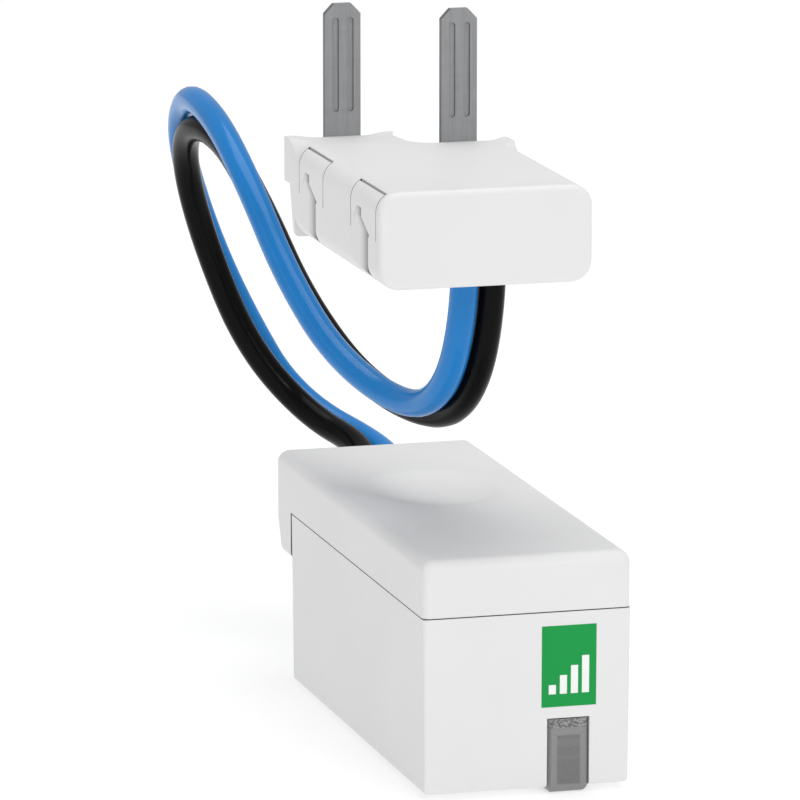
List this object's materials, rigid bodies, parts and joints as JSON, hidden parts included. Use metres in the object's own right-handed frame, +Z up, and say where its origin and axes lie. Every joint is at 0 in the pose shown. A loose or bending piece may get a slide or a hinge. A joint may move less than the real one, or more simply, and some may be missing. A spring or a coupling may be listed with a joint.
{
  "type": "smart energy monitor",
  "caption": "One-module wireless energy monitor: a small sensor box joined by insulated leads to a plug-in head with flat blades.",
  "frame": {"origin": "centre of the underside of the sensor base", "axes": "+X to the right seen from the front, +Y to the rear where the leads leave, +Z up, the way the blades point"},
  "size_m": [0.0238, 0.0751, 0.0634],
  "materials": {
    "housing": "fine matte moulded polycarbonate, light grey white",
    "smoked_guide": "smoked translucent moulding, satin",
    "circuit_board": "green solder mask",
    "led_resin": "clear resin",
    "chip_resin": "black moulded resin",
    "shield_can": "tinned sheet",
    "antenna_ceramic": "fired ceramic",
    "capacitor_can": "drawn can",
    "winding": "enamelled copper wire",
    "resistor_body": "fired lacquer",
    "varistor_body": "dipped resin",
    "clamp_plastic": "moulded polyamide",
    "contact_metal": "tinned brass",
    "blade_metal": "tinned copper alloy, dull grey",
    "blue_insulation": "soft PVC with a satin sheen",
    "black_insulation": "soft PVC with a satin sheen"
  },
  "bodies": {
    "sensor": {"sensor_base": "housing", "sensor_cover": "housing", "light_guide": "smoked_guide", "main_board": "circuit_board", "status_led": "led_resin", "metering_chip": "chip_resin", "radio_module": "shield_can", "radio_antenna": "antenna_ceramic", "bridge_rectifier": "chip_resin", "supply_capacitor": "capacitor_can", "supply_inductor": "winding", "fuse_resistor": "resistor_body", "surge_varistor": "varistor_body", "lead_clamp": "clamp_plastic", "neutral_terminal": "contact_metal", "line_terminal": "contact_metal", "blue_tail_sensor": "blue_insulation", "black_tail_sensor": "black_insulation", "blue_lead": "blue_insulation", "black_lead": "black_insulation"},
    "head": {"head_cap": "housing", "head_flange": "housing", "blade_left": "blade_metal", "blade_right": "blade_metal", "blue_tail_head": "blue_insulation", "black_tail_head": "black_insulation", "crimp_left": "contact_metal", "crimp_right": "contact_metal", "sense_board": "circuit_board", "coil_left": "winding", "coil_right": "winding"}
  },
  "joints": [
    {"name": "head_travel", "type": "slide", "parent": "sensor", "child": "head", "axis": [0, 0, 1], "range_m": [0, 0.01]}
  ]
}
